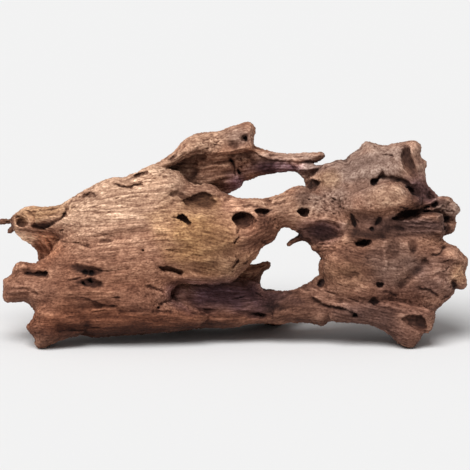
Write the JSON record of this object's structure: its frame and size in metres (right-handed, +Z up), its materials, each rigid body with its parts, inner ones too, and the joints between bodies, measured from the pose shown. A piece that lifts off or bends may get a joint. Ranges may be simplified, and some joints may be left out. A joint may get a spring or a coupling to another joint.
{
  "type": "honeycomb driftwood piece",
  "caption": "Long weathered driftwood piece, bored and hollowed, with a plate-like left mass, a lobed right mass and gaps right through between them.",
  "frame": {"origin": "middle of the base, on the surface that the piece rests on", "axes": "+X to the right along the length, +Y away from the viewer to the hidden side, +Z up"},
  "size_m": [0.4014, 0.1364, 0.1787],
  "materials": {
    "wood": "dry, weathered, matt"
  },
  "bodies": {
    "root": {"honeycomb_wood": "wood"}
  },
  "joints": []
}
